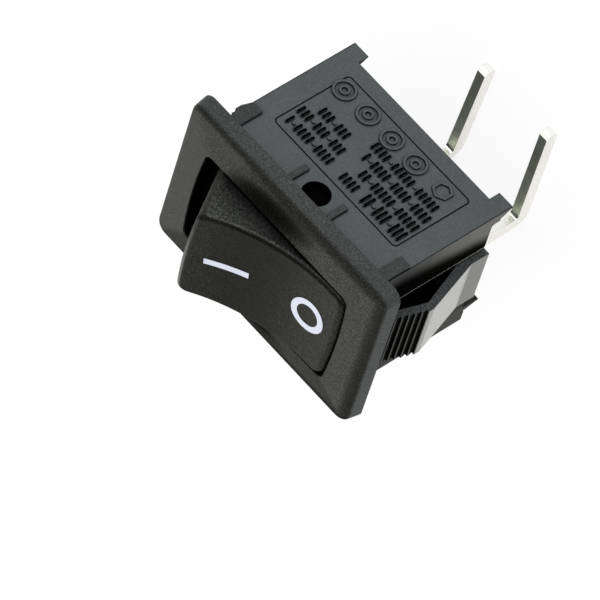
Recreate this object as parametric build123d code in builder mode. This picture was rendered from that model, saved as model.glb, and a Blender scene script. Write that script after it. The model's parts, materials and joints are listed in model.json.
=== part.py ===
from build123d import *

import os
from math import cos, radians, sin, sqrt, tan

# Mini rocker switch for a snap-in panel cut-out, with two right-angle circuit-board pins.
#
# Frame: the origin is the centre of the panel cut-out, on the plane where the bezel lies on the panel.
# +Z points out of the panel, +X towards the "I" end of the rocker, -Y towards the marked side of the body.
# The "O" end of the rocker is pressed, so the switch is off.

# ---------------------------------------------------------------- bezel and body
bezel_length = 21.0
bezel_width = 15.0
bezel_corner_radius = 1.0
bezel_edge_height = 1.35     # of the crest that runs round the outside
bezel_lip_height = 1.85      # of the frame's inner edge, at the opening
bezel_edge_draft = 7.0       # degrees
bezel_crest_radius = 0.5
bezel_lip_flat = 0.1
opening_lip_chamfer = 0.07
opening_lip_angle = 45.0

end_flange = 2.0             # how far the bezel stands out past the body's ends
side_flange = 1.25           # and past its sides
body_depth = 10.9
end_wall = 0.75
throat_wall = 1.62           # the side walls where they carry the rocker's trunnions
chamber_wall = 1.05          # the side walls below that
throat_depth = 3.0
floor_thickness = 1.2
opening_corner_radius = 0.6
end_bow_radius = 42.0        # of the opening's ends, which bow outwards in plan

# ---------------------------------------------------------------- details of the body
rear_skirt_wall = 0.95
marked_skirt = 0.73          # how far the marked wall runs on past the floor
plain_skirt = 0.3            # and the wall opposite
foot_width = 1.45            # of the four wedge-shaped feet, along the body
foot_tip = 0.12              # their thickness at the end
marked_foot_length = 1.7     # past the floor
marked_foot_root = 1.09      # their thickness at the floor
plain_foot_length = 1.55
plain_foot_root = 0.55
plain_foot_inset = 1.05      # from the plain side's face

locating_proud = 0.2         # of the pads and ribs that centre the body in the cut-out
pad_width = 1.0
pad_depth = 2.85
pad_end_inset = 0.1
rib_width = 0.46
rib_depth = 2.4
rib_offset = 2.06            # from the middle of the body to the middle of the rib

panel_line_length = 13.14    # of the engraved frame on the marked side
panel_line_height = 7.3
panel_line_middle = 6.7      # below the bezel
panel_line_radius = 0.4
panel_line_width = 0.12
panel_line_depth = 0.07

# ---------------------------------------------------------------- spring clips
clip_width = 5.2
clip_slot_gap = 0.1
clip_slot_top = 0.8          # below the bezel
clip_slot_overrun = 0.2      # of the cut, past both faces of the end wall
clip_root_depth = 8.3        # where the arm comes free of the end wall
clip_root_proud = 0.55
clip_bend_depth = 9.2
clip_peak_depth = 4.4
clip_peak_proud = 1.95
clip_peak_flat = 0.5
clip_peak_radius = 0.3
clip_thickness = 0.65
clip_tip_gap = 0.5           # to the underside of the bezel
tooth_count = 7
tooth_pitch = 0.5
tooth_depth = 0.22
tooth_step = 0.15            # how much nearer each crest is to the body than the one behind it

# ---------------------------------------------------------------- rocker
rocker_tilt = 17.85          # degrees each way from level
pivot_depth = 1.45           # of the trunnions, below the panel
trunnion_radius = 1.05
trunnion_length = 1.0
trunnion_clearance = 0.05
rocker_side_gap = 0.15
rocker_end_gap = 0.13        # from the pressed tip to the opening
rocker_tip_height = 5.69     # above the pivot
rocker_dish_height = 4.46    # above the pivot, at the middle of the hollow top
rocker_skirt_drop = 0.6      # below the pivot
rocker_skirt_gap = 0.25      # from the skirt to the opening
rocker_wall = 1.0
rocker_tip_wall = 1.25       # under the tips of the hollow top
rocker_corner_radius = 0.9   # of the four upright corners
rocker_edge_radius = 0.4    # round the top
rocker_ear_radius = 1.9
boss_radius = 2.0
boss_drop = 2.6              # below the pivot
web_thickness = 0.8

# ---------------------------------------------------------------- plunger and spring
plunger_radius = 1.0
plunger_clearance = 0.05
plunger_top_drop = 0.6       # below the pivot
plunger_pass_gap = 0.05      # to the contact blade as it passes the middle
spigot_radius = 0.5
spigot_length = 1.0
bore_top_height = 3.0        # above the pivot
spring_wire = 0.25
spring_outside_radius = 0.9
spring_turns = 4
wire_flat_count = 6          # the round wire is drawn with this many flats

# ---------------------------------------------------------------- contacts and terminals
blade_tilt = 5.0             # degrees each way
blade_width = 4.0
blade_thickness = 0.4
blade_seat_gap = 0.03
blade_overhang = 1.2         # past the moving contact
blade_short_arm = 4.2
blade_corner_radius = 0.8
contact_inset = 1.2          # of the contacts' axis, from the middle of the end terminal's upright
contact_gap_closed = 0.08
contact_radius = 1.1
contact_dome = 0.45
contact_rim = 0.2
shank_radius = 0.5
shank_clearance = 0.02
swage_radius = 0.7
swage_height = 0.18

fulcrum_height = 2.5         # of the blade's rocking axis, above the floor
horn_height = 1.1            # above that axis
horn_width = 0.55
horn_gap_side = 0.06
horn_gap_end = 0.25
strip_thickness = 0.75       # of the terminals' sheet metal
end_terminal_gap = 0.375     # from the end wall to the end terminal
pin_depth_wise = 1.05        # the pin's size along Y at the floor
pin_offset = 0.75            # of the pins from the middle of the body, towards the marked side
pin_run = 4.65               # from the underside of the floor to the near face of the bent leg
pin_reach = 10.8             # from the middle of the body to the tip
pin_bend_radius = 0.25
pin_tip_chamfer = 0.3
common_pin_lean = 2.4        # degrees that the bent leg stands off square
end_pad_width = 3.0
end_pad_overhang = 1.25      # past the fixed contact
slot_clearance = 0.05

pick_band = 0.01             # either side of a height at which edges are picked

# ---------------------------------------------------------------- places worked out from the sizes
body_length = bezel_length - 2 * end_flange
body_width = bezel_width - 2 * side_flange
opening_length = body_length - 2 * end_wall
opening_width = body_width - 2 * throat_wall
chamber_width = body_width - 2 * chamber_wall
floor_top = floor_thickness - body_depth

rocker_width = opening_width - 2 * rocker_side_gap
rocker_swing = opening_length / 2 - rocker_end_gap
tilt = radians(rocker_tilt)
rocker_tip_reach = (rocker_swing - rocker_tip_height * sin(tilt)) / cos(tilt)
rocker_skirt_reach = opening_length / 2 - rocker_skirt_gap
dish_rise = rocker_tip_height - rocker_dish_height
dish_radius = (rocker_tip_reach**2 + dish_rise**2) / (2 * dish_rise)
rocker_blank_height = rocker_dish_height + dish_radius - sqrt(dish_radius**2 - rocker_skirt_reach**2)

fulcrum_depth = body_depth - floor_thickness - fulcrum_height
fulcrum_radius = strip_thickness / 2
pin_spacing = opening_length / 2 - end_terminal_gap - strip_thickness / 2
contact_reach = pin_spacing - contact_inset
blade_under = fulcrum_radius + blade_seat_gap
blade_top = blade_under + blade_thickness
plunger_reach = fulcrum_depth - pivot_depth - blade_top - plunger_pass_gap
moving_face = contact_rim + contact_dome - blade_under
closed_drop = contact_reach * sin(radians(blade_tilt)) + moving_face * cos(radians(blade_tilt))
fixed_face = -fulcrum_depth - closed_drop - contact_gap_closed
end_pad_top = fixed_face - contact_rim - contact_dome


def tilted(depth, angle):
    """A frame on the middle line, `depth` below the panel, with its +X end raised by `angle` degrees."""
    turn = radians(angle)
    return Plane(origin=(0, 0, -depth), x_dir=(cos(turn), 0, sin(turn)), z_dir=(-sin(turn), 0, cos(turn)))


def upright(frame):
    """The frame's XZ plane: sketch X runs along the frame's X, sketch Y along its Z."""
    return Plane(origin=frame.origin, x_dir=frame.x_dir, z_dir=-frame.y_dir)


rocker_frame = tilted(pivot_depth, rocker_tilt)
blade_frame = tilted(fulcrum_depth, -blade_tilt)
level_section = upright(Plane.XY)


def barrel(half_length, width, corner_radius):
    """A plan outline with straight sides and bowed ends, `half_length` from its middle to each end."""
    bow = end_bow_radius - sqrt(end_bow_radius**2 - (width / 2) ** 2)
    corner = half_length - bow
    with BuildSketch() as plan:
        with BuildLine():
            ThreePointArc((corner, -width / 2), (half_length, 0), (corner, width / 2))
            Line((corner, width / 2), (-corner, width / 2))
            ThreePointArc((-corner, width / 2), (-half_length, 0), (-corner, -width / 2))
            Line((-corner, -width / 2), (corner, -width / 2))
        make_face()
        fillet(plan.vertices(), corner_radius)
    return plan.sketch


def opening_plan(margin):
    """The outline of the opening, `margin` larger all round."""
    return barrel(
        opening_length / 2 + margin, opening_width + 2 * margin, opening_corner_radius + margin
    )


def rocker_end_frame(end):
    """A frame on the foot of the rocker's +X end, or its -X end where `end` is -1, with Z up along its slope."""
    foot = rocker_frame.from_local_coords((end * rocker_skirt_reach, 0, -rocker_skirt_drop))
    tip = rocker_frame.from_local_coords((end * rocker_tip_reach, 0, rocker_tip_height))
    slope = (tip - foot).normalized()
    return Plane(origin=foot, x_dir=rocker_frame.y_dir.cross(slope) * end, z_dir=slope)


def foot_side(face, root, length):
    """A foot seen along X: a wedge with its straight side at Y = `face`, `root` thick at the floor."""
    with BuildSketch() as side:
        with BuildLine():
            Polyline(
                (face, -body_depth),
                (face, -body_depth - length),
                (face + foot_tip, -body_depth - length),
                (face + root, -body_depth),
                close=True,
            )
        make_face()
    return side.sketch


def edges_at_height(part, height):
    """The part's edges that lie level at Z = `height`."""
    return part.edges().filter_by_position(Axis.Z, height - pick_band, height + pick_band)


def clip_outline():
    """Points of the +X spring clip in the XZ plane, from its root forwards and back along the inside."""
    face = body_length / 2
    peak = face + clip_peak_proud
    points = [
        (face, -body_depth),
        (face + clip_root_proud, -body_depth),
        (face + clip_root_proud, -clip_bend_depth),
        (peak, -clip_peak_depth),
    ]
    for tooth in range(tooth_count):
        crest = peak - tooth * tooth_step
        level = clip_peak_flat - clip_peak_depth + tooth * tooth_pitch
        points += [(crest, level), (crest - tooth_depth, level)]
    lean = tooth_step / tooth_pitch
    tip = peak - clip_thickness - lean * (clip_peak_depth - clip_tip_gap)
    points += [
        (tip + clip_thickness - tooth_depth, -clip_tip_gap),
        (tip, -clip_tip_gap),
        (peak - clip_thickness, -clip_peak_depth),
        (face, -clip_root_depth),
    ]
    return points


# ================================================================ housing
# One moulding: bezel, body, locating pads and ribs, rear feet and the two spring clips.
with BuildPart() as housing:
    edge_inset = bezel_edge_height * tan(radians(bezel_edge_draft))
    with BuildSketch():
        RectangleRounded(bezel_length, bezel_width, bezel_corner_radius)
    with BuildSketch(Plane.XY.offset(bezel_edge_height)):
        RectangleRounded(bezel_length - 2 * edge_inset, bezel_width - 2 * edge_inset, bezel_corner_radius)
    with BuildSketch(Plane.XY.offset(bezel_lip_height)):
        add(opening_plan(bezel_lip_flat))
    loft(ruled=True)
    fillet(edges_at_height(housing, bezel_edge_height), bezel_crest_radius)

    with BuildSketch():
        Rectangle(body_length, body_width)
    extrude(amount=-body_depth)

    # Rear skirts and feet
    with BuildSketch(Plane.XY.offset(-body_depth)):
        with Locations((0, (rear_skirt_wall - body_width) / 2)):
            Rectangle(body_length, rear_skirt_wall)
    extrude(amount=-marked_skirt)
    with BuildSketch(Plane.XY.offset(-body_depth)):
        with Locations((0, (body_width - rear_skirt_wall) / 2)):
            Rectangle(body_length, rear_skirt_wall)
    extrude(amount=-plain_skirt)
    plain_foot_face = body_width / 2 - plain_foot_inset - plain_foot_root
    for end in (-1, 1):
        foot_x = end * (body_length - foot_width) / 2
        with BuildSketch(Plane.YZ.offset(foot_x)):
            add(foot_side(-body_width / 2, marked_foot_root, marked_foot_length))
            add(foot_side(plain_foot_face, plain_foot_root, plain_foot_length))
        extrude(amount=foot_width / 2, both=True)

    # Pads and ribs that centre the body in the cut-out
    pad_x = (body_length - pad_width) / 2 - pad_end_inset
    with BuildSketch():
        with Locations((-pad_x, 0), (pad_x, 0)):
            Rectangle(pad_width, body_width + 2 * locating_proud)
    extrude(amount=-pad_depth)
    with BuildSketch():
        with Locations((-rib_offset, 0), (rib_offset, 0)):
            Rectangle(rib_width, body_width + 2 * locating_proud)
    extrude(amount=-rib_depth)

    # The hollow that the rocker and the contacts work in
    with BuildSketch(Plane.XY.offset(-throat_depth)):
        add(opening_plan(0))
    extrude(amount=throat_depth + bezel_lip_height, mode=Mode.SUBTRACT)
    with BuildSketch(Plane.XY.offset(floor_top)):
        RectangleRounded(opening_length, chamber_width, opening_corner_radius)
    extrude(amount=-floor_top - throat_depth, mode=Mode.SUBTRACT)
    with BuildSketch(Plane.XY.offset(bezel_lip_height - opening_lip_chamfer)):
        add(opening_plan(0))
    extrude(amount=opening_lip_chamfer, taper=-opening_lip_angle, mode=Mode.SUBTRACT)

    # Trunnion bearings, through both side walls
    with BuildSketch(level_section):
        with Locations((0, -pivot_depth)):
            Circle(trunnion_radius + trunnion_clearance)
    extrude(amount=body_width, both=True, mode=Mode.SUBTRACT)

    # Engraved frame on the marked side
    marked_face = Plane(
        origin=(0, -body_width / 2, -panel_line_middle), x_dir=(1, 0, 0), z_dir=(0, -1, 0)
    )
    with BuildSketch(marked_face):
        RectangleRounded(panel_line_length, panel_line_height, panel_line_radius)
        RectangleRounded(
            panel_line_length - 2 * panel_line_width,
            panel_line_height - 2 * panel_line_width,
            panel_line_radius - panel_line_width,
            mode=Mode.SUBTRACT,
        )
    extrude(amount=-panel_line_depth, mode=Mode.SUBTRACT)

    # Slots behind the clips
    slot_height = clip_root_depth - clip_slot_top
    with BuildSketch(Plane.XY.offset(-clip_root_depth)):
        with Locations((-body_length / 2, 0), (body_length / 2, 0)):
            Rectangle(2 * (end_wall + clip_slot_overrun), clip_width + 2 * clip_slot_gap)
    extrude(amount=slot_height, mode=Mode.SUBTRACT)

    # Spring clips
    with BuildSketch(level_section) as clips:
        with BuildLine():
            Polyline(*clip_outline(), close=True)
        make_face()
        peak = (body_length / 2 + clip_peak_proud, -clip_peak_depth)
        fillet(clips.vertices().sort_by_distance(peak)[0], clip_peak_radius)
        mirror(about=Plane.YZ)
    extrude(amount=clip_width / 2, both=True)

    # Slots for the two terminals
    with BuildSketch(Plane.XY.offset(floor_top)):
        with Locations((0, -pin_offset), (-pin_spacing, -pin_offset)):
            Rectangle(strip_thickness + 2 * slot_clearance, pin_depth_wise + 2 * slot_clearance)
    extrude(amount=-floor_thickness, mode=Mode.SUBTRACT)

# ================================================================ rocker
with BuildPart() as rocker:
    # Side profile, cut to its two bowed, leaning ends
    with BuildSketch(upright(rocker_frame)):
        with BuildLine():
            ThreePointArc(
                (-rocker_skirt_reach, rocker_blank_height),
                (0, rocker_dish_height),
                (rocker_skirt_reach, rocker_blank_height),
            )
            Polyline(
                (rocker_skirt_reach, rocker_blank_height),
                (rocker_skirt_reach, -rocker_skirt_drop),
                (-rocker_skirt_reach, -rocker_skirt_drop),
                (-rocker_skirt_reach, rocker_blank_height),
            )
        make_face()
    extrude(amount=rocker_width / 2, both=True)
    for end in (-1, 1):
        with BuildSketch(rocker_end_frame(end)):
            with Locations((-opening_length, 0)):
                add(barrel(opening_length, rocker_width, rocker_corner_radius))
        extrude(amount=opening_length, both=True, mode=Mode.INTERSECT)
    dish = rocker.faces().filter_by(GeomType.CYLINDER).sort_by(SortBy.AREA)[-1]
    fillet(dish.edges(), rocker_edge_radius)

    # Hollow underside
    with BuildSketch(upright(rocker_frame)):
        with BuildLine():
            hollow_top = rocker_tip_reach - rocker_wall
            ThreePointArc(
                (-hollow_top, rocker_tip_height - rocker_tip_wall),
                (0, rocker_dish_height - rocker_wall),
                (hollow_top, rocker_tip_height - rocker_tip_wall),
            )
            Polyline(
                (hollow_top, rocker_tip_height - rocker_tip_wall),
                (rocker_skirt_reach - rocker_wall, -rocker_skirt_drop),
                (rocker_wall - rocker_skirt_reach, -rocker_skirt_drop),
                (-hollow_top, rocker_tip_height - rocker_tip_wall),
            )
        make_face()
    extrude(amount=rocker_width / 2 - rocker_wall, both=True, mode=Mode.SUBTRACT)

    # Boss for the plunger, with webs to the side walls
    with BuildSketch(rocker_frame.offset(-boss_drop)):
        Circle(boss_radius)
    extrude(amount=boss_drop + rocker_dish_height - rocker_wall / 2)
    with BuildSketch(rocker_frame.offset(-rocker_skirt_drop)):
        Rectangle(web_thickness, rocker_width - rocker_wall)
    extrude(amount=rocker_skirt_drop + rocker_dish_height - rocker_wall / 2)

    # Ears and trunnions
    with BuildSketch(upright(rocker_frame).offset(rocker_width / 2 - rocker_wall)):
        Circle(rocker_ear_radius)
    extrude(amount=rocker_wall)
    with BuildSketch(upright(rocker_frame).offset(rocker_wall - rocker_width / 2)):
        Circle(rocker_ear_radius)
    extrude(amount=-rocker_wall)
    with BuildSketch(upright(rocker_frame).offset(rocker_width / 2)):
        Circle(trunnion_radius)
    extrude(amount=trunnion_length)
    with BuildSketch(upright(rocker_frame).offset(-rocker_width / 2)):
        Circle(trunnion_radius)
    extrude(amount=-trunnion_length)

    # Bore for the plunger and its spring
    with BuildSketch(rocker_frame.offset(-boss_drop)):
        Circle(plunger_radius + plunger_clearance)
    extrude(amount=boss_drop + bore_top_height, mode=Mode.SUBTRACT)

# ================================================================ plunger
with BuildPart() as plunger:
    with BuildSketch(upright(rocker_frame)):
        with BuildLine():
            Polyline(
                (0, -plunger_reach),
                (0, spigot_length - plunger_top_drop),
                (spigot_radius, spigot_length - plunger_top_drop),
                (spigot_radius, -plunger_top_drop),
                (plunger_radius, -plunger_top_drop),
                (plunger_radius, plunger_radius - plunger_reach),
            )
            RadiusArc((plunger_radius, plunger_radius - plunger_reach), (0, -plunger_reach), plunger_radius)
        make_face()
    revolve(axis=Axis(rocker_frame.origin, rocker_frame.z_dir))

# ================================================================ spring
with BuildPart() as spring:
    coil_room = bore_top_height + plunger_top_drop - spring_wire
    coil_frame = rocker_frame.offset(spring_wire / 2 - plunger_top_drop)
    with BuildLine() as coil:
        Helix(
            coil_room / spring_turns,
            coil_room,
            spring_outside_radius - spring_wire / 2,
            center=coil_frame.origin,
            direction=coil_frame.z_dir,
        )
    with BuildSketch(Plane(origin=coil.line @ 0, z_dir=coil.line % 0)):
        RegularPolygon(spring_wire / 2, wire_flat_count)
    sweep(is_frenet=True)

# ================================================================ contact blade
with BuildPart() as contact_blade:
    blade_length = contact_reach + blade_overhang + blade_short_arm
    blade_middle = (blade_short_arm - contact_reach - blade_overhang) / 2
    with BuildSketch(blade_frame.offset(blade_under)):
        with Locations((blade_middle, 0)):
            RectangleRounded(blade_length, blade_width, blade_corner_radius)
        notch = 2 * (horn_width + horn_gap_side)
        with Locations((0, -blade_width / 2), (0, blade_width / 2)):
            Rectangle(strip_thickness + 2 * horn_gap_end, notch, mode=Mode.SUBTRACT)
        with Locations((-contact_reach, 0)):
            Circle(shank_radius + shank_clearance, mode=Mode.SUBTRACT)
    extrude(amount=blade_thickness)


def rivet_section(sheet):
    """Half section of a contact rivet: sketch Y is its axis, its head lies above 0 and the sheet below."""
    crown = contact_rim + contact_dome
    dome_radius = (contact_radius**2 + contact_dome**2) / (2 * contact_dome)
    with BuildSketch() as section:
        with BuildLine():
            Polyline(
                (0, crown),
                (0, -sheet - swage_height),
                (swage_radius, -sheet - swage_height),
                (swage_radius, -sheet),
                (shank_radius, -sheet),
                (shank_radius, 0),
                (contact_radius, 0),
                (contact_radius, contact_rim),
            )
            RadiusArc((0, crown), (contact_radius, contact_rim), dome_radius)
        make_face()
    return section.sketch


def pin_side():
    """The bent pin in its own plane: sketch X runs towards the tip, sketch Y is the switch's Z."""
    front = pin_depth_wise / 2
    near = -body_depth - pin_run
    far = near - pin_depth_wise
    tip = pin_reach - pin_offset
    with BuildSketch() as side:
        with BuildLine():
            Polyline((-front, floor_top), (front, floor_top), (front, near), (tip, near),
                     (tip, far), (-front, far), close=True)
        make_face()
        chamfer(side.vertices().group_by(Axis.X)[-1], pin_tip_chamfer)
        fillet(side.vertices().sort_by_distance((front, near))[0], pin_bend_radius)
        fillet(side.vertices().sort_by_distance((-front, far))[0], pin_bend_radius + pin_depth_wise)
    return side.sketch


def pin_plane(place, lean):
    """The plane of a pin at X = `place`, whose leg leans from square by `lean` degrees."""
    turn = radians(lean)
    return Plane(
        origin=(place, -pin_offset, 0),
        x_dir=(-sin(turn), -cos(turn), 0),
        z_dir=(-cos(turn), sin(turn), 0),
    )


# ================================================================ contact rivets
with BuildPart() as moving_contact:
    moving_seat = blade_frame.from_local_coords((-contact_reach, 0, blade_under))
    with BuildSketch(Plane(origin=moving_seat, x_dir=blade_frame.x_dir, z_dir=blade_frame.y_dir)):
        add(rivet_section(blade_thickness))
    revolve(axis=Axis(moving_seat, blade_frame.z_dir))

with BuildPart() as fixed_contact:
    fixed_seat = (-contact_reach, 0, end_pad_top)
    with BuildSketch(Plane(origin=fixed_seat, x_dir=(1, 0, 0), z_dir=(0, -1, 0))):
        add(rivet_section(strip_thickness))
    revolve(axis=Axis(fixed_seat, (0, 0, 1)))

# ================================================================ terminals
with BuildPart() as common_terminal:
    # Fulcrum plate, standing on the floor, with a round top edge between two horns
    with BuildSketch(level_section):
        with Locations((0, (floor_top - fulcrum_depth) / 2)):
            Rectangle(strip_thickness, -fulcrum_depth - floor_top)
        with Locations((0, -fulcrum_depth)):
            Circle(fulcrum_radius)
    extrude(amount=blade_width / 2, both=True)
    with BuildSketch(Plane.XY.offset(-fulcrum_depth)):
        horn_y = (blade_width - horn_width) / 2
        with Locations((0, -horn_y), (0, horn_y)):
            Rectangle(strip_thickness, horn_width)
    extrude(amount=horn_height)
    with BuildSketch(pin_plane(0, common_pin_lean)):
        add(pin_side())
    extrude(amount=strip_thickness / 2, both=True)

with BuildPart() as end_terminal:
    # Upright on the floor, folded over into the pad that carries the fixed contact
    with BuildSketch(level_section):
        pad_end = end_pad_overhang - contact_reach
        outer = -pin_spacing - strip_thickness / 2
        with BuildLine():
            Polyline(
                (outer, floor_top),
                (outer, end_pad_top),
                (pad_end, end_pad_top),
                (pad_end, end_pad_top - strip_thickness),
                (outer + strip_thickness, end_pad_top - strip_thickness),
                (outer + strip_thickness, floor_top),
                close=True,
            )
        make_face()
    extrude(amount=end_pad_width / 2, both=True)
    with BuildSketch(Plane.XY.offset(end_pad_top)):
        with Locations((-contact_reach, 0)):
            Circle(shank_radius + shank_clearance)
    extrude(amount=-strip_thickness, mode=Mode.SUBTRACT)
    with BuildSketch(pin_plane(-pin_spacing, 0)):
        add(pin_side())
    extrude(amount=strip_thickness / 2, both=True)

# ================================================================ files
os.makedirs("parts", exist_ok=True)

housing.part.label = "housing"
export_step(housing.part, "parts/housing.step")

rocker.part.label = "rocker"
export_step(rocker.part, "parts/rocker.step")

plunger.part.label = "plunger"
export_step(plunger.part, "parts/plunger.step")

spring.part.label = "spring"
export_step(spring.part, "parts/spring.step")

contact_blade.part.label = "contact_blade"
export_step(contact_blade.part, "parts/contact_blade.step")

moving_contact.part.label = "moving_contact"
export_step(moving_contact.part, "parts/moving_contact.step")

fixed_contact.part.label = "fixed_contact"
export_step(fixed_contact.part, "parts/fixed_contact.step")

common_terminal.part.label = "common_terminal"
export_step(common_terminal.part, "parts/common_terminal.step")

end_terminal.part.label = "end_terminal"
export_step(end_terminal.part, "parts/end_terminal.step")
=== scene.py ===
import json
from math import cos, radians, sin

import bpy
from mathutils import Matrix, Vector


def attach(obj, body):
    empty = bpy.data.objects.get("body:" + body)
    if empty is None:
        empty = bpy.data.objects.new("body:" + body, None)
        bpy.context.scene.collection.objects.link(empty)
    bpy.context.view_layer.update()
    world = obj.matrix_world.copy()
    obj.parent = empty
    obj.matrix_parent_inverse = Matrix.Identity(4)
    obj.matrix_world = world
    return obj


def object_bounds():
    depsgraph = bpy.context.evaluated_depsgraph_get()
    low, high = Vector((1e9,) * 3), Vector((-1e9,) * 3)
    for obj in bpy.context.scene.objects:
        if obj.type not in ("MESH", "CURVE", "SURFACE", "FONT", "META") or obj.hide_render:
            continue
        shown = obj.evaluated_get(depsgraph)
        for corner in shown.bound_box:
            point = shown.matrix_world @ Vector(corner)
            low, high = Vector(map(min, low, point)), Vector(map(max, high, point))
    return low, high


# Looks of a small snap-in rocker switch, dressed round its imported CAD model.
# Lengths below are in millimetres until they reach Blender, which works in metres.

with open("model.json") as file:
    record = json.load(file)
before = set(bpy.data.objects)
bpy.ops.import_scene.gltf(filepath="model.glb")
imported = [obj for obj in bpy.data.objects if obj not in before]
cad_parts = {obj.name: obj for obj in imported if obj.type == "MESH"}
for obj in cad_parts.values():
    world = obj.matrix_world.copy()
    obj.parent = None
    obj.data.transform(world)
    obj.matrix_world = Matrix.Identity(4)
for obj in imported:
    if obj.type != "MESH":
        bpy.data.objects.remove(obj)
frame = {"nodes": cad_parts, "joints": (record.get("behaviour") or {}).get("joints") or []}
cad_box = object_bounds()
nodes = frame["nodes"]

MM = 0.001
rocker_pivot = next(joint["pos_m"] for joint in frame["joints"] if joint["name"] == "rocker_pivot")
rocker_tilt = radians(17.85)   # at rest, with its "O" end pressed

# Places on the part: across it from its middle, and in depth from the panel's plane
crest_reach = (10.33, 7.33)  # of the bezel's crest, along X and Y
crest_height = 1.35
body_face = 6.25             # of the two long sides
body_end = 8.5               # of the two end walls
body_depth = 10.9
chamber_reach = (7.8, 5.3)   # just past the walls of the body's chamber, along X and Y
locating_proud = 0.2         # of the pads and ribs, past the long sides
clip_half_width = 2.6
clip_slot_edge = 2.7         # of the slots that cut the clips free of the end walls
clip_peak_level = -3.9
clip_peak_reach = 10.45
ramp_root_depth = 9.05       # where the clips' ramps start from the body

fine_grain = 0.10            # sizes of the spark-eroded grain on the moulded plastic
coarse_grain = 0.30


# ---------------------------------------------------------------- shader arithmetic
class Socket:
    """An output in a node tree. Arithmetic on it adds Math nodes."""

    def __init__(self, graph, output):
        self.graph, self.output = graph, output

    def maths(self, operation, first, second=0.0):
        return self.graph.node("Math", {"operation": operation}, {0: first, 1: second})

    def __add__(self, other):
        return self.maths("ADD", self, other)

    __radd__ = __add__

    def __sub__(self, other):
        return self.maths("SUBTRACT", self, other)

    def __rsub__(self, other):
        return self.maths("SUBTRACT", other, self)

    def __mul__(self, other):
        return self.maths("MULTIPLY", self, other)

    __rmul__ = __mul__

    def __neg__(self):
        return self.maths("MULTIPLY", self, -1.0)

    def __abs__(self):
        return self.maths("ABSOLUTE", self)

    def smaller(self, other):
        return self.maths("MINIMUM", self, other)

    def larger(self, other):
        return self.maths("MAXIMUM", self, other)

    def rise(self, start, end):
        """0 below start, 1 above end, smooth between them."""
        settings = {"interpolation_type": "SMOOTHSTEP"}
        sockets = {"Value": self, "From Min": start, "From Max": end}
        return self.graph.node("MapRange", settings, sockets)

    def fall(self, start, end):
        """1 below start, 0 above end, smooth between them."""
        return 1 - self.rise(start, end)


class Graph:
    """A node tree under construction."""

    def __init__(self, tree):
        self.tree = tree

    def node(self, kind, settings, sockets, output=0):
        """Adds a node, and returns the named or numbered output of it."""
        made = self.tree.nodes.new("ShaderNode" + kind)
        for name, value in settings.items():
            setattr(made, name, value)
        for name, value in sockets.items():
            self.feed(made.inputs[name], value)
        return Socket(self, made.outputs[output])

    def feed(self, target, value):
        """Links a socket, or sets it to a constant."""
        if isinstance(value, Socket):
            self.tree.links.new(value.output, target)
        else:
            target.default_value = value

    def split(self, vector):
        """The three numbers of a vector."""
        parts = self.node("SeparateXYZ", {}, {"Vector": vector}).output.node
        return [Socket(self, output) for output in parts.outputs]

    def backdrop_rays(self):
        """1 for what is seen straight, mirrored or through glass, and 0 for light on matt surfaces."""
        rays = self.node("LightPath", {}, {}, output="Is Camera Ray")
        path = rays.output.node
        for name in ("Is Glossy Ray", "Is Transmission Ray"):
            rays = rays.larger(Socket(self, path.outputs[name]))
        return rays


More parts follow.
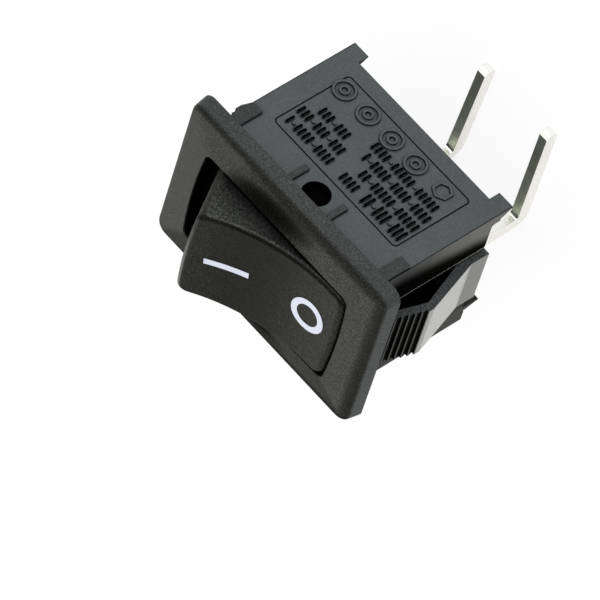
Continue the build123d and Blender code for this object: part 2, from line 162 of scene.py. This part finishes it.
class Finish(Graph):
    """A material under construction, built round its Principled shader."""

    def __init__(self, name, **constants):
        self.material = bpy.data.materials.new(name)
        self.material.use_nodes = True
        super().__init__(self.material.node_tree)
        self.shader = self.tree.nodes["Principled BSDF"]
        for socket, value in constants.items():
            self.shader.inputs[socket.replace("_", " ")].default_value = value
        self.place = self.node("TexCoord", {}, {}, output="Object")

    def wear(self, **inputs):
        """Feeds the Principled shader's varying inputs."""
        for name, value in inputs.items():
            self.feed(self.shader.inputs[name.replace("_", " ")], value)

    def axes(self):
        """The place on the piece as three numbers, in millimetres."""
        return self.split(self.node("VectorMath", {"operation": "SCALE"}, {0: self.place, "Scale": 1 / MM}))

    def facing(self):
        """The surface's own direction as three numbers."""
        settings = {"vector_type": "NORMAL", "convert_from": "WORLD", "convert_to": "OBJECT"}
        normal = self.node("NewGeometry", {}, {}, output="Normal")
        return self.split(self.node("VectorTransform", settings, {"Vector": normal}))

    def noise(self, size, detail=2.0, roughness=0.5, stretch=(1, 1, 1)):
        """Noise whose lumps are about `size` millimetres across, stretched along the axes."""
        scale = [1 / (size * MM * s) for s in stretch]
        place = self.node("Mapping", {}, {"Vector": self.place, "Scale": scale})
        sockets = {"Vector": place, "Scale": 1.0, "Detail": detail, "Roughness": roughness}
        return self.node("TexNoise", {}, sockets)

    def mix(self, share, first, second):
        """A blend of two colours."""
        return self.node("Mix", {"data_type": "RGBA"}, {0: share, 6: first, 7: second}, output=2)

    def overlay(self, share, covering):
        """Covers the surface so far with another shader, by `share`."""
        target = self.tree.nodes["Material Output"].inputs["Surface"]
        below = Socket(self, target.links[0].from_socket)
        self.feed(target, self.node("MixShader", {}, {0: share, 1: below, 2: covering}))

    def polish_and_paint_light(self, share, colour, normal, level, roughness):
        """Overlays plastic of another colour, bump, gloss and roughness; the colour often carries painted
        light and shade.
        """
        sockets = {
            "Base Color": colour, "Normal": normal, "Specular IOR Level": level, "Roughness": roughness}
        self.overlay(share, self.node("BsdfPrincipled", {}, sockets))

    def paint_shade(self, share):
        """Paints shade: covers by `share` with a near-black matt shader that gives hardly any light back.
        """
        self.overlay(share, self.node("BsdfDiffuse", {}, {"Color": (0.0012, 0.0012, 0.0011, 1)}))

    def paint_recess_shade(self, distance, start, end, where=1.0):
        """Paints shade into places closed in by walls within `distance` millimetres: fully where their
        openness is under `start`, and not at all over `end`."""
        openness = self.node("AmbientOcclusion", {"samples": 8}, {"Distance": distance * MM}, output="AO")
        self.paint_shade(openness.fall(start, end) * where)

    def relief(self, height, depth, edge_radius=0.0):
        """A bumped normal: `height` from 0 to 1, `depth` in millimetres, with softened edges."""
        sockets = {"Height": height, "Distance": depth * MM, "Strength": 1.0}
        if edge_radius:
            sockets["Normal"] = self.node("Bevel", {"samples": 4}, {"Radius": edge_radius * MM})
        return self.node("Bump", {}, sockets)

    def spark_grain(self, depth, edge_radius):
        """Spark-eroded grain: its fine and coarse noise, its pale specks, and its bumped normal."""
        fine = self.noise(fine_grain, detail=1.5, roughness=0.6)
        coarse = self.noise(coarse_grain)
        speck = (fine * 0.85 + coarse * 0.15).rise(0.46, 0.62)
        return fine, coarse, speck, self.relief(fine * 0.65 + coarse * 0.35, depth, edge_radius)


def dress(piece, finish):
    """Gives the piece this finish and no other."""
    piece.data.materials.clear()
    piece.data.materials.append(finish.material)


# ---------------------------------------------------------------- finishes
def housing_plastic():
    """Black moulded nylon: spark-eroded grain, smoother body walls and polished clip ramps, with painted
    light and shade laid over them.
    """
    finish = Finish("housing_nylon", IOR=1.5, Specular_IOR_Level=0.24)
    x, y, z = finish.axes()
    nx, ny, nz = finish.facing()
    fine, coarse, speck, grained = finish.spark_grain(depth=0.06, edge_radius=0.10)
    patch = finish.noise(3.2, detail=3.0)

    # An olive black with pale specks; towards the "O" end the black is painted darker, as painted shade,
    # and the specks stand out more
    far_end = (-x).rise(-6.0, 11.0)
    olive = finish.mix(far_end, (0.0080, 0.0082, 0.0062, 1), (0.0055, 0.0055, 0.0040, 1))
    pale = finish.mix(far_end, (0.044, 0.046, 0.039, 1), (0.054, 0.055, 0.043, 1))
    finish.wear(
        Base_Color=finish.mix(speck, finish.mix(patch * 0.12, olive, pale), pale),
        Roughness=0.56 + (fine - 0.5) * 0.25, Normal=grained)

    # Bezel: walls painted greener and lighter than its face, as painted light; crest and slopes towards +Y
    # painted darker, as painted shade
    wall = z.rise(0.0, 0.02) * nz.fall(0.3, 0.7)
    finish.polish_and_paint_light(
        wall, finish.mix(speck, (0.0190, 0.0205, 0.0198, 1), (0.047, 0.0515, 0.050, 1)),
        grained, level=0.24, roughness=0.5)
    border = (crest_reach[0] + x).smaller(crest_reach[1] - abs(y))
    breadth = 0.55 + (-x).rise(-6.0, 2.0) * 0.40
    crest = z.rise(crest_height - 0.45, crest_height - 0.05) * (border - breadth).fall(-0.5, 0.15)
    finish.paint_shade(crest * 0.58)
    finish.paint_shade(ny.rise(0.05, 0.15) * nz.rise(0.5, 0.8) * 0.45)

    # Painted shade: a dark oval on each side of the rocker's waist, nearer the middle towards the "I" end
    waist_x, waist_y, waist_lean = 0.8, 5.55, 0.10
    along = (x - waist_x) * 0.24
    across = (abs(y) - waist_y + (x - waist_x) * waist_lean) * 0.95
    waist_shade = (along * along + across * across).fall(0.0, 1.4)
    finish.paint_shade(waist_shade * z.rise(crest_height - 0.35, crest_height - 0.05) * 0.86)

    # Painted shade: closed-in places darken, and inside the body and the clip slots the plastic is painted
    # nearly black
    finish.paint_recess_shade(5.0, 0.40, 0.90)
    inside = abs(x).fall(chamber_reach[0], chamber_reach[0] + 0.1)
    inside = inside * abs(y).fall(chamber_reach[1], chamber_reach[1] + 0.1) * (-z).rise(0.2, 2.0)
    clip_slot = abs(x).fall(body_end - 0.08, body_end - 0.04)
    clip_slot = clip_slot * abs(y).fall(clip_slot_edge + 0.05, clip_slot_edge + 0.10) * (-z).rise(0.5, 0.8)
    finish.paint_shade(inside.larger(clip_slot) * z.rise(0.3 - body_depth, 0.6 - body_depth))

    # End walls: painted light, lighter towards the rear and the marked side; a painted shade beside each
    # clip that widens towards the bezel, and painted shade towards +Y
    end_wall = abs(x).rise(body_end - 0.04, body_end - 0.01) * abs(x).fall(body_end + 0.01, body_end + 0.04)
    end_wall = end_wall * abs(nx).rise(0.9, 0.98) * (-z).rise(0.02, 0.06)
    lit = (-z).rise(2.0, 10.0) * (1 - y.rise(-2.0, 2.0) * 0.55)
    finish.polish_and_paint_light(
        end_wall, finish.mix(lit, (0.014, 0.016, 0.014, 1), (0.064, 0.062, 0.052, 1)),
        finish.relief(coarse, 0.02, edge_radius=0.03), level=0.3, roughness=0.42)
    shade_depth, shade_lean = 8.5, 0.142
    shade_edge = abs(y) - (z + shade_depth) * shade_lean
    finish.paint_shade(end_wall * shade_edge.fall(3.5, 5.1) * 0.97)
    finish.paint_shade(end_wall * y.rise(2.0, 3.0) * 0.45)

    # Long sides: smooth walls painted lighter and bluer, as painted sheen, with darker pads and ribs;
    # painted shade where they meet the end walls
    side = abs(y).rise(body_face - 0.03, body_face - 0.01) * (-z).rise(0.02, 0.06)
    pad_face = body_face + locating_proud
    proud = abs(y).rise(pad_face - 0.035, pad_face - 0.015)
    sheen_slate = finish.mix(patch, (0.0315, 0.0372, 0.0385, 1), (0.043, 0.0505, 0.0515, 1))
    sheen_slate = finish.mix(speck * 0.35, sheen_slate, (0.078, 0.086, 0.089, 1))
    pad = finish.mix(speck, (0.0095, 0.0115, 0.0113, 1), (0.0260, 0.0300, 0.0300, 1))
    finish.polish_and_paint_light(
        side, finish.mix(proud, sheen_slate, pad), finish.relief(fine, 0.022, edge_radius=0.03),
        level=0.40, roughness=0.40 + (fine - 0.5) * 0.2)
    finish.paint_shade(side * (1 - proud) * abs(x).rise(body_end - 0.10, body_end - 0.06) * 0.7)

    # Clips: grained sides painted lighter as painted light, painted shade on faces turned towards the body,
    # polished ramps with a pale painted reflection and painted shade at their roots, and teeth painted dark
    # as painted shade
    clip = abs(x).rise(body_end - 0.3, body_end - 0.1)
    clip = clip * abs(y).fall(clip_half_width + 0.05, clip_half_width + 0.08) * (-z).rise(0.3, 0.45)
    finish.paint_shade(clip * (-(x * nx)).rise(0.1, 0.5))
    finish.polish_and_paint_light(
        clip * abs(ny).rise(0.9, 0.98),
        finish.mix(speck, (0.014, 0.016, 0.016, 1), (0.070, 0.077, 0.078, 1)),
        grained, level=0.3, roughness=0.45)
    behind_peak = (-z).rise(-clip_peak_level, 0.1 - clip_peak_level)
    ramp = (x * nx).rise(body_end + 0.08, body_end + 0.14) * behind_peak
    finish.polish_and_paint_light(
        ramp, finish.mix(patch, (0.150, 0.147, 0.134, 1), (0.185, 0.181, 0.166, 1)),
        finish.relief(coarse, 0.006, edge_radius=0.05), level=1.0, roughness=0.10 + fine * 0.05)
    finish.paint_shade(ramp * (-z).rise(ramp_root_depth, ramp_root_depth + 0.25) * 0.30)
    teeth = clip * (1 - behind_peak) * abs(nx).rise(0.3, 0.6)
    finish.paint_shade(teeth * 0.80)

    # Painted shade as fine dark lines where walls meet, and painted highlights as pale lines on the teeth's
    # crests and the clip slots' lips
    finish.paint_recess_shade(0.25, 0.45, 0.95, where=side * 0.9)
    finish.paint_recess_shade(0.20, 0.35, 0.85)
    crest_line = abs(x) + (z - clip_peak_level) * 0.3
    tooth_edge = (crest_line - clip_peak_reach).rise(-0.055, -0.025) * clip * (1 - behind_peak)
    slot_edge = abs(abs(y) - (clip_slot_edge + 0.03)).fall(0.03, 0.06) * end_wall * (-z).rise(2.3, 3.2)
    finish.polish_and_paint_light(tooth_edge * 0.7, (0.10, 0.11, 0.098, 1), grained, level=0.4, roughness=0.35)
    finish.polish_and_paint_light(slot_edge * 0.9, (0.36, 0.36, 0.32, 1), grained, level=0.4, roughness=0.35)
    return finish


def rocker_plastic():
    """Black moulded nylon, grained less deeply than the housing, with painted shade on the flanks where
    they go down into the bezel.
    """
    finish = Finish("rocker_nylon", IOR=1.5, Specular_IOR_Level=0.11)
    x, y, z = finish.axes()
    nx, ny, nz = finish.facing()
    along = nx * cos(rocker_tilt) + nz * sin(rocker_tilt)
    upward = nz * cos(rocker_tilt) - nx * sin(rocker_tilt)
    fine, _, speck, grained = finish.spark_grain(depth=0.04, edge_radius=0.09)
    # Painted shade: the top is painted darker in its middle than towards its ends
    middle = abs(x + 0.5).fall(0.5, 5.5)
    plain = finish.mix(middle, (0.0050, 0.0049, 0.0034, 1), (0.0010, 0.0010, 0.0004, 1))
    pale = finish.mix(middle, (0.0300, 0.0295, 0.0230, 1), (0.0115, 0.0115, 0.0070, 1))
    finish.wear(
        Base_Color=finish.mix(speck, plain, pale), Roughness=0.52 + (fine - 0.5) * 0.22, Normal=grained)
    flank = abs(ny).rise(0.75, 0.95)
    finish.polish_and_paint_light(
        flank, finish.mix(speck, (0.008, 0.009, 0.008, 1), (0.055, 0.058, 0.052, 1)),
        grained, level=0.22, roughness=0.5)
    # Painted shade along the fold from the top into the flanks, down the flanks and in creases
    finish.paint_shade(abs(ny).rise(0.12, 0.45) * abs(ny).fall(0.60, 0.90) * upward.rise(0.3, 0.6) * 0.6)
    finish.paint_recess_shade(3.5, 0.55, 0.93, where=flank)
    finish.paint_recess_shade(0.5, 0.12, 0.40)

    # Painted shade: nearly black from about the pivot's level down, and past the flanks
    pivot_depth = -rocker_pivot[2] / MM
    height = (z + pivot_depth) * cos(rocker_tilt) - x * sin(rocker_tilt)
    finish.paint_shade(abs(y).rise(4.7, 5.0).larger(height.fall(0.0, 1.0)))

    # A painted highlight: a pale strip along the rim of the end that is raised at rest
    rim = x.rise(3.5, 4.5) * along.rise(0.0, 0.35) * along.fall(0.70, 0.92)
    rim = rim * abs(ny).fall(0.3, 0.6) * y.rise(-5.0, 4.0)
    finish.polish_and_paint_light(
        rim, finish.mix(speck, (0.10, 0.10, 0.095, 1), (0.24, 0.24, 0.225, 1)),
        grained, level=0.6, roughness=0.3)
    return finish


def legend_ink():
    """White pad-printed ink, thin enough to follow the grain below it."""
    finish = Finish("legend_ink", IOR=1.45, Specular_IOR_Level=0.4)
    grain = finish.noise(fine_grain)
    cloud = finish.noise(0.8)
    finish.wear(
        Base_Color=finish.mix(cloud, (0.56, 0.58, 0.67, 1), (0.63, 0.65, 0.73, 1)),
        Roughness=0.45 + grain * 0.15,
        Normal=finish.relief(grain, 0.015),
    )
    return finish


def tin_plate():
    """Bright tin over brass strip: rolled faces, streaked sheared edges with a dark painted reflection on
    those facing up, and painted shade inside the body.
    """
    finish = Finish("tin_plate")
    z = finish.axes()[2]
    nx, _, nz = finish.facing()
    rolled = abs(nx).rise(0.5, 0.8)
    upward_dark_reflection = nz.rise(0.6, 0.9)
    streak = finish.noise(0.10, detail=3.0, stretch=(6, 1, 1))
    grain = finish.noise(0.16, detail=4.0, roughness=0.7)
    stain = finish.noise(1.2, detail=3.0)
    bright = finish.mix(grain.rise(0.35, 0.75), (0.96, 0.95, 0.92, 1), (0.74, 0.71, 0.61, 1))
    # Sheared faces: pale where they face sideways; where they face up, a dark olive that is partly stain
    # and partly a painted reflection of the dark body
    sheared = finish.mix(upward_dark_reflection, (0.93, 0.92, 0.89, 1), finish.mix(
        stain * 0.5 + grain * 0.5, (0.27, 0.31, 0.22, 1), (0.62, 0.65, 0.52, 1)))
    finish.wear(
        Base_Color=finish.mix(rolled, sheared, bright),
        Metallic=0.97 - grain * 0.04,
        Roughness=0.26 + stain * 0.12 + grain * rolled * 0.14,
        Normal=finish.relief(grain * rolled + streak * (1 - rolled), 0.02, edge_radius=0.06),
    )
    # Painted shade in closed-in places inside the body
    finish.paint_recess_shade(4.0, 0.35, 0.85, where=z.rise(0.2 - body_depth, 0.5 - body_depth))
    return finish


def bare_metal(name, light, dark, size, stretch, roughness):
    """A worked metal that tarnishes from `light` to `dark`, with its marks drawn out by `stretch`."""
    finish = Finish(name)
    streak = finish.noise(size, detail=3.0, stretch=stretch)
    tarnish = finish.noise(1.1, detail=3.0)
    finish.wear(
        Base_Color=finish.mix(tarnish.rise(0.35, 0.7), light, dark),
        Metallic=1.0 - tarnish * 0.06,
        Roughness=roughness + (streak - 0.5) * 0.2,
        Normal=finish.relief(streak, 0.008, edge_radius=0.03),
    )
    # Painted shade in closed-in places
    finish.paint_recess_shade(4.0, 0.35, 0.85)
    return finish


def plunger_plastic():
    """Natural nylon, cloudy and smooth."""
    finish = Finish("plunger_nylon", IOR=1.53, Specular_IOR_Level=0.5)
    cloud = finish.noise(0.9, detail=3.0)
    grain = finish.noise(0.08, detail=2.0)
    finish.wear(
        Base_Color=finish.mix(cloud, (0.66, 0.63, 0.53, 1), (0.76, 0.74, 0.66, 1)),
        Roughness=0.34 + grain * 0.14,
        Normal=finish.relief(grain, 0.01, edge_radius=0.04),
    )
    return finish


tin = tin_plate()
silver = bare_metal(
    "contact_silver", light=(0.88, 0.87, 0.84, 1), dark=(0.60, 0.56, 0.48, 1),
    size=0.12, stretch=(1, 1, 1), roughness=0.30)
steel = bare_metal(
    "spring_steel", light=(0.56, 0.56, 0.55, 1), dark=(0.34, 0.33, 0.31, 1),
    size=0.05, stretch=(1, 1, 3), roughness=0.32)
brass = bare_metal(
    "blade_brass", light=(0.74, 0.55, 0.27, 1), dark=(0.52, 0.36, 0.17, 1),
    size=0.08, stretch=(8, 1, 1), roughness=0.33)
finishes = {
    "housing": housing_plastic(),
    "rocker": rocker_plastic(),
    "plunger": plunger_plastic(),
    "spring": steel,
    "contact_blade": brass,
    "moving_contact": silver,
    "fixed_contact": silver,
    "common_terminal": tin,
    "end_terminal": tin,
}
for node_name, finish in finishes.items():
    dress(nodes[node_name], finish)


# ---------------------------------------------------------------- the printed marks
ink_height = 0.02            # of the ink's underside over the plastic
ink_thickness = 0.02
drop_height = 7.0            # above the pivot, from where a flat mark is dropped onto the rocker
bar_place = (3.075, 0.0)     # along and across the rocker, from its pivot
bar_size = (3.29, 0.53)
bar_turn = radians(6.8)
ring_place = (-3.60, -0.26)
ring_radii = (1.465, 1.44)
ring_line = 0.515


def apply_modifiers(piece):
    """Applies all of the piece's modifiers in their order."""
    for modifier in list(piece.modifiers):
        bpy.ops.object.modifier_apply(modifier=modifier.name)


def on_rocker(along, across, height):
    """A point given along, across and above the rocker's own level through its pivot."""
    place = Vector((along * cos(rocker_tilt) - height * sin(rocker_tilt), across,
                    along * sin(rocker_tilt) + height * cos(rocker_tilt)))
    return Vector(rocker_pivot) + place * MM


def lay_on_rocker(piece):
    """Wraps a flat mark onto the hollow top, gives it thickness and settles it."""
    wrap = piece.modifiers.new("wrap", "SHRINKWRAP")
    wrap.target = nodes["rocker"]
    wrap.wrap_method = "PROJECT"
    wrap.use_project_z = True
    wrap.use_negative_direction = True
    wrap.use_positive_direction = False
    wrap.offset = ink_height * MM
    solid = piece.modifiers.new("ink", "SOLIDIFY")
    solid.thickness = ink_thickness * MM
    solid.offset = 1.0
    apply_modifiers(piece)
    bpy.ops.object.transform_apply(location=True, rotation=True, scale=True)


ink = legend_ink()
bpy.ops.object.select_all(action="DESELECT")
bpy.ops.mesh.primitive_grid_add(
    x_subdivisions=14, y_subdivisions=2, size=1, location=on_rocker(*bar_place, drop_height),
    rotation=(0, -rocker_tilt, bar_turn))
legend_bar = bpy.context.object
legend_bar.name = "legend_bar"
legend_bar.scale = (bar_size[0] * MM, bar_size[1] * MM, 1)
bpy.ops.object.transform_apply(location=False, rotation=False, scale=True)
lay_on_rocker(legend_bar)
dress(legend_bar, ink)
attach(legend_bar, "rocker")

bpy.ops.object.select_all(action="DESELECT")
bpy.ops.mesh.primitive_circle_add(
    vertices=64, radius=MM, fill_type="NGON", location=on_rocker(*ring_place, drop_height),
    rotation=(0, -rocker_tilt, 0))
legend_ring = bpy.context.object
legend_ring.name = "legend_ring"
legend_ring.scale = (*ring_radii, 1)
bpy.ops.object.transform_apply(location=False, rotation=False, scale=True)
bpy.ops.object.mode_set(mode="EDIT")
bpy.ops.mesh.inset(thickness=ring_line * MM)
bpy.ops.mesh.delete(type="FACE")
bpy.ops.object.mode_set(mode="OBJECT")
lay_on_rocker(legend_ring)
dress(legend_ring, ink)
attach(legend_ring, "rocker")


# ---------------------------------------------------------------- raised marks on the marked side
# Plain strokes, dashes and rings stand where such a switch carries its moulded particulars.
mark_height = 0.14           # of the marks, proud of the wall's face
mark_sink = 0.03             # of their roots, below it
mark_bevel = 0.035           # along their edges
stroke_width = 0.18
stroke_pitch = 0.43
stroke_rounding = 0.48       # of the width, at the ends
dash_length = 0.30


def settle(piece, across, up):
    """Stands a mark, modelled flat and facing up, on the marked side at `across`, `up`."""
    piece.rotation_euler = (radians(90), 0, 0)
    piece.location = Vector((across, mark_sink - body_face, up)) * MM
    bpy.ops.object.transform_apply(location=True, rotation=True, scale=True)


def raise_mark(piece):
    """Gives a flat outline its height and softened edges."""
    solid = piece.modifiers.new("height", "SOLIDIFY")
    solid.thickness = (mark_height + mark_sink) * MM
    solid.offset = 1.0
    rim = piece.modifiers.new("rim", "BEVEL")
    rim.width = mark_bevel * MM
    rim.segments = 2
    rim.limit_method = "ANGLE"
    rim.angle_limit = radians(50)
    apply_modifiers(piece)


def pill(name, length, width):
    """A flat bar with rounded ends, along X, that stands up as one mark."""
    bpy.ops.object.select_all(action="DESELECT")
    bpy.ops.mesh.primitive_plane_add(size=MM)
    piece = bpy.context.object
    piece.name = name
    piece.scale = (length, width, 1)
    bpy.ops.object.transform_apply(location=False, rotation=False, scale=True)
    bpy.ops.object.mode_set(mode="EDIT")
    bpy.ops.mesh.bevel(offset=width * MM * stroke_rounding, segments=4, affect="VERTICES")
    bpy.ops.object.mode_set(mode="OBJECT")
    raise_mark(piece)
    return piece


def copies_of(master, places):
    """Stands a copy of `master` at each place, then removes the master."""
    made = []
    for across, up in places:
        bpy.ops.object.select_all(action="DESELECT")
        master.select_set(True)
        bpy.context.view_layer.objects.active = master
        bpy.ops.object.duplicate(linked=False)
        piece = bpy.context.object
        settle(piece, across, up)
        made.append(piece)
    bpy.data.objects.remove(master)
    return made


def joined(name, pieces):
    """Joins the pieces into one, with the housing's finish, riding on the body."""
    bpy.ops.object.select_all(action="DESELECT")
    for piece in pieces:
        piece.select_set(True)
    bpy.context.view_layer.objects.active = pieces[0]
    bpy.ops.object.join()
    piece = bpy.context.object
    piece.name = name
    dress(piece, finishes["housing"])
    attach(piece, "body")


# Rows of strokes: level, height of the strokes, first and last place, and the number of marks in a
# group, of which the last is a dash
rows = (
    (-4.10, 1.15, -6.10, -2.00, 4),
    (-4.05, 0.85, -1.20, 0.40, 5),
    (-4.10, 0.85, 1.60, 6.30, 5),
    (-5.35, 0.85, -6.10, -0.40, 6),
    (-5.35, 0.85, 1.80, 6.10, 4),
    (-6.55, 0.85, -6.00, 0.60, 5),
    (-6.55, 0.85, 2.60, 5.40, 4),
    (-7.70, 0.80, -5.60, 0.90, 6),
)
marks = []
for number, (level, height, first, last, group) in enumerate(rows):
    uprights, dashes = [], []
    count = int((last - first) / stroke_pitch) + 1
    for step in range(count):
        across = first + step * stroke_pitch
        if step % group == group - 1:
            dashes.append((across, level))
        else:
            uprights.append((across, level))
    marks += copies_of(pill(f"stroke_{number}", stroke_width, height), uprights)
    marks += copies_of(pill(f"dash_{number}", dash_length, stroke_width), dashes)
joined("stroke_rows", marks)


def flat_ring(name, radius, width, vertices):
    """A flat ring that stands up as one mark."""
    bpy.ops.object.select_all(action="DESELECT")
    bpy.ops.mesh.primitive_circle_add(vertices=vertices, radius=radius * MM, fill_type="NGON")
    piece = bpy.context.object
    piece.name = name
    bpy.ops.object.mode_set(mode="EDIT")
    bpy.ops.mesh.inset(thickness=width * MM)
    bpy.ops.mesh.delete(type="FACE")
    bpy.ops.object.mode_set(mode="OBJECT")
    raise_mark(piece)
    return piece


ring_level = -9.12
double_rings = [(across, ring_level) for across in (5.70, 3.16, 0.58, -1.95)]
hexagons = [(-4.75, -9.20)]
rings = copies_of(flat_ring("ring", radius=0.92, width=0.19, vertices=48), double_rings)
rings += copies_of(flat_ring("ring_centre", radius=0.42, width=0.18, vertices=32), double_rings)
rings += copies_of(flat_ring("last_ring", radius=0.82, width=0.19, vertices=6), hexagons)
joined("ring_row", rings)


# ---------------------------------------------------------------- stage, lamps and camera
# Lengths here are in metres, apart from the camera's aim and lens.
white = (1, 1, 1, 1)
floor_size = 3.0
floor_glow = 0.88            # the share of plain white in what is seen of the floor
room_light = 0.90            # the world's strength on the part


def floor_paint():
    """Pale floor that looks white to the eye and still takes a soft shadow."""
    finish = Finish("pale_floor", Base_Color=(0.94, 0.94, 0.94, 1), Roughness=0.8, Specular_IOR_Level=0.1)
    glow = finish.node("Emission", {}, {"Color": white, "Strength": 1.0})
    finish.overlay(finish.backdrop_rays() * floor_glow, glow)
    return finish


bpy.ops.object.select_all(action="DESELECT")
bpy.ops.mesh.primitive_plane_add(size=floor_size, location=(0, 0, cad_box[0].z))
floor = bpy.context.object
floor.name = "floor"
dress(floor, floor_paint())

world = bpy.data.worlds.new("studio")
bpy.context.scene.world = world
world.use_nodes = True
background = world.node_tree.nodes["Background"]
background.inputs["Color"].default_value = white
room = Graph(world.node_tree)
strength = room.node(
    "MapRange", {}, {"Value": room.backdrop_rays(), "To Min": room_light, "To Max": 1.0})
room.feed(background.inputs["Strength"], strength)


def softbox(name, azimuth, elevation, distance, size, power, colour):
    """A square area lamp that faces the origin. Azimuth 0 is in front of the marked side."""
    turn = Matrix.Rotation(radians(azimuth), 4, "Z") @ Matrix.Rotation(radians(90 - elevation), 4, "X")
    place = turn @ Vector((0, 0, distance))
    bpy.ops.object.select_all(action="DESELECT")
    bpy.ops.object.light_add(type="AREA", location=place, rotation=turn.to_euler())
    lamp = bpy.context.object
    lamp.name = name
    lamp.data.size = size
    lamp.data.energy = power
    lamp.data.color = colour


softbox(
    "key_softbox", azimuth=-10, elevation=28, distance=0.45,
    size=0.30, power=1.2, colour=(0.95, 0.98, 1.0))
softbox(
    "fill_softbox", azimuth=150, elevation=40, distance=0.60,
    size=0.40, power=0.7, colour=(1.0, 0.98, 0.95))

camera_azimuth = -23.264
camera_elevation = 30.505
camera_roll = -120.997
camera_distance = 0.5587
aim = Vector((-2.873, 1.564, 0.513)) * MM
turn = (Matrix.Rotation(radians(camera_azimuth), 4, "Z")
        @ Matrix.Rotation(radians(90 - camera_elevation), 4, "X")
        @ Matrix.Rotation(radians(camera_roll), 4, "Z"))
bpy.ops.object.select_all(action="DESELECT")
bpy.ops.object.camera_add()
camera = bpy.context.object
camera.matrix_world = Matrix.Translation(aim) @ turn @ Matrix.Translation((0, 0, camera_distance))
camera.data.sensor_width = 36
camera.data.lens = 480
camera.data.clip_start = 0.01
camera.data.clip_end = 20
bpy.context.scene.camera = camera

bpy.context.scene.view_settings.view_transform = "Standard"
